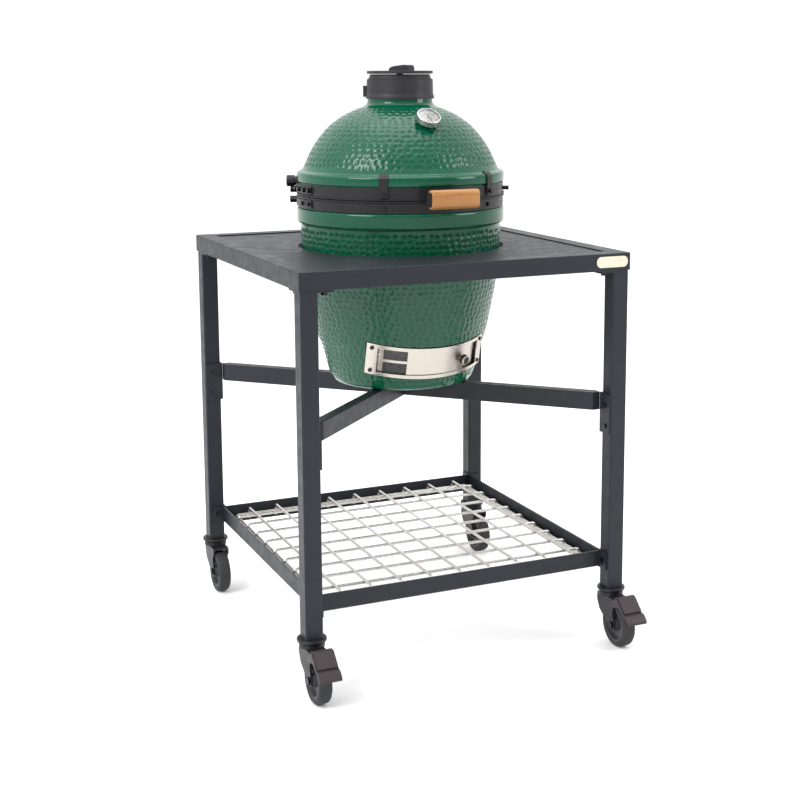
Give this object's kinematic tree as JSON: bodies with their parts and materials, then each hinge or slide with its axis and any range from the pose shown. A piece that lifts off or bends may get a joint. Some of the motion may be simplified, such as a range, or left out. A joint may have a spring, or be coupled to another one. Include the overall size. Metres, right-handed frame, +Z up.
{
  "type": "kamado charcoal grill in wheeled table frame",
  "caption": "Egg-shaped glazed ceramic charcoal grill with hinged dome, draft door and chimney cap, set in a square wheeled steel table with a wire shelf.",
  "frame": {"origin": "on the floor, at the centre of the object's footprint box (the vertical axis of the ceramic body stands 45 mm behind it, at x 0, y 0.045 m, because the front casters and brake pedals reach forwards)", "axes": "+Z up, -Y to the front (handle, draft door and brake pedals), +X to the right seen from the front"},
  "size_m": [0.778, 0.8599, 1.291],
  "materials": {
    "frame": "matte anthracite powder coat",
    "panel": "matte anthracite powder coat, fine texture",
    "fastener": "blackened screws",
    "wire": "silver-grey coated wire",
    "badge": "pale enamel",
    "caster_steel": "dark grey coated steel",
    "glaze": "dimpled deep green glaze",
    "firebrick": "unglazed fire clay",
    "cast": "black cast iron",
    "grid_steel": "stainless wire",
    "felt": "black felt",
    "band": "dark coated steel",
    "spring": "zinc",
    "stainless": "bright stainless sheet",
    "bezel": "polished bezel",
    "lens": "clear",
    "wood": "oiled bamboo",
    "cap": "charcoal coated casting",
    "needle": "black",
    "tyre": "dark rubber",
    "hub": "dark grey plastic"
  },
  "bodies": {
    "root": {"border_frame": "frame", "table_panel": "panel", "frame_bolts": "fastener", "front_left_leg": "frame", "front_right_leg": "frame", "back_left_leg": "frame", "back_right_leg": "frame", "brace_bars": "frame", "leg_brackets": "frame", "frame_screws": "fastener", "shelf_rails": "frame", "shelf_grid": "wire", "badge_plate": "badge", "caster_collars": "caster_steel", "ceramic_base": "glaze", "firebox": "firebrick", "fire_grate": "cast", "fire_ring": "firebrick", "cooking_grid": "grid_steel", "lower_gasket": "felt", "lower_band": "band", "hinge_base_bracket": "band", "hinge_pin": "band", "hinge_springs": "spring", "base_fasteners": "fastener", "draft_frame": "stainless"},
    "lid": {"dome": "glaze", "thermometer_body": "bezel", "thermometer_lens": "lens", "upper_gasket": "felt", "upper_band": "band", "dome_clips": "band", "hinge_lid_bracket": "band", "upper_band_bolts": "fastener", "handle_bracket": "band", "handle_grip": "wood", "cap_body": "cap"},
    "cap_damper": {"cap_damper": "cap"},
    "needle": {"thermometer_needle": "needle"},
    "draft_door": {"draft_door": "stainless"},
    "draft_screen": {"draft_screen": "stainless", "draft_mesh": "stainless"},
    "front_left_swivel": {"front_left_caster_fork": "caster_steel", "front_left_axle_bolt": "fastener"},
    "front_left_wheel": {"front_left_tyre": "tyre", "front_left_wheel_hub": "hub"},
    "front_left_brake": {"front_left_brake_pedal": "caster_steel"},
    "front_right_swivel": {"front_right_caster_fork": "caster_steel", "front_right_axle_bolt": "fastener"},
    "front_right_wheel": {"front_right_tyre": "tyre", "front_right_wheel_hub": "hub"},
    "front_right_brake": {"front_right_brake_pedal": "caster_steel"},
    "back_left_swivel": {"back_left_caster_fork": "caster_steel", "back_left_axle_bolt": "fastener"},
    "back_left_wheel": {"back_left_tyre": "tyre", "back_left_wheel_hub": "hub"},
    "back_right_swivel": {"back_right_caster_fork": "caster_steel", "back_right_axle_bolt": "fastener"},
    "back_right_wheel": {"back_right_tyre": "tyre", "back_right_wheel_hub": "hub"}
  },
  "joints": [
    {"name": "lid_hinge", "type": "hinge", "parent": "root", "child": "lid", "pos_m": [0, 0.31, 1.005], "axis": [-1, 0, 0], "range_deg": [0, 72]},
    {"name": "damper_turn", "type": "hinge", "parent": "lid", "child": "cap_damper", "pos_m": [0, 0.045, 1.274], "axis": [0, 0, 1], "range_deg": [-60, 60]},
    {"name": "needle_turn", "type": "hinge", "parent": "lid", "child": "needle", "pos_m": [0, -0.11365, 1.17876], "axis": [0, 0.5878, -0.809], "range_deg": [0, 250]},
    {"name": "draft_door_slide", "type": "hinge", "parent": "root", "child": "draft_door", "pos_m": [0, 0.04848, 0.68821], "axis": [0, -0.2538, 0.9673], "range_deg": [-18.5, 13.5]},
    {"name": "draft_screen_slide", "type": "hinge", "parent": "root", "child": "draft_screen", "pos_m": [0, 0.04848, 0.68821], "axis": [0, -0.2538, 0.9673], "range_deg": [0, 38]},
    {"name": "front_left_swivel_turn", "type": "hinge", "parent": "root", "child": "front_left_swivel", "pos_m": [-0.358, -0.313, 0.115], "axis": [0, 0, 1], "continuous": true},
    {"name": "front_left_wheel_spin", "type": "hinge", "parent": "front_left_swivel", "child": "front_left_wheel", "pos_m": [-0.358, -0.349, 0.05], "axis": [1, 0, 0], "continuous": true},
    {"name": "front_left_brake_pivot", "type": "hinge", "parent": "front_left_swivel", "child": "front_left_brake", "pos_m": [-0.358, -0.353, 0.101], "axis": [-1, 0, 0], "range_deg": [0, 14]},
    {"name": "front_right_swivel_turn", "type": "hinge", "parent": "root", "child": "front_right_swivel", "pos_m": [0.358, -0.313, 0.115], "axis": [0, 0, 1], "continuous": true},
    {"name": "front_right_wheel_spin", "type": "hinge", "parent": "front_right_swivel", "child": "front_right_wheel", "pos_m": [0.358, -0.349, 0.05], "axis": [1, 0, 0], "continuous": true},
    {"name": "front_right_brake_pivot", "type": "hinge", "parent": "front_right_swivel", "child": "front_right_brake", "pos_m": [0.358, -0.353, 0.101], "axis": [-1, 0, 0], "range_deg": [0, 14]},
    {"name": "back_left_swivel_turn", "type": "hinge", "parent": "root", "child": "back_left_swivel", "pos_m": [-0.358, 0.403, 0.115], "axis": [0, 0, 1], "continuous": true},
    {"name": "back_left_wheel_spin", "type": "hinge", "parent": "back_left_swivel", "child": "back_left_wheel", "pos_m": [-0.358, 0.367, 0.05], "axis": [1, 0, 0], "continuous": true},
    {"name": "back_right_swivel_turn", "type": "hinge", "parent": "root", "child": "back_right_swivel", "pos_m": [0.358, 0.403, 0.115], "axis": [0, 0, 1], "continuous": true},
    {"name": "back_right_wheel_spin", "type": "hinge", "parent": "back_right_swivel", "child": "back_right_wheel", "pos_m": [0.358, 0.367, 0.05], "axis": [1, 0, 0], "continuous": true}
  ]
}
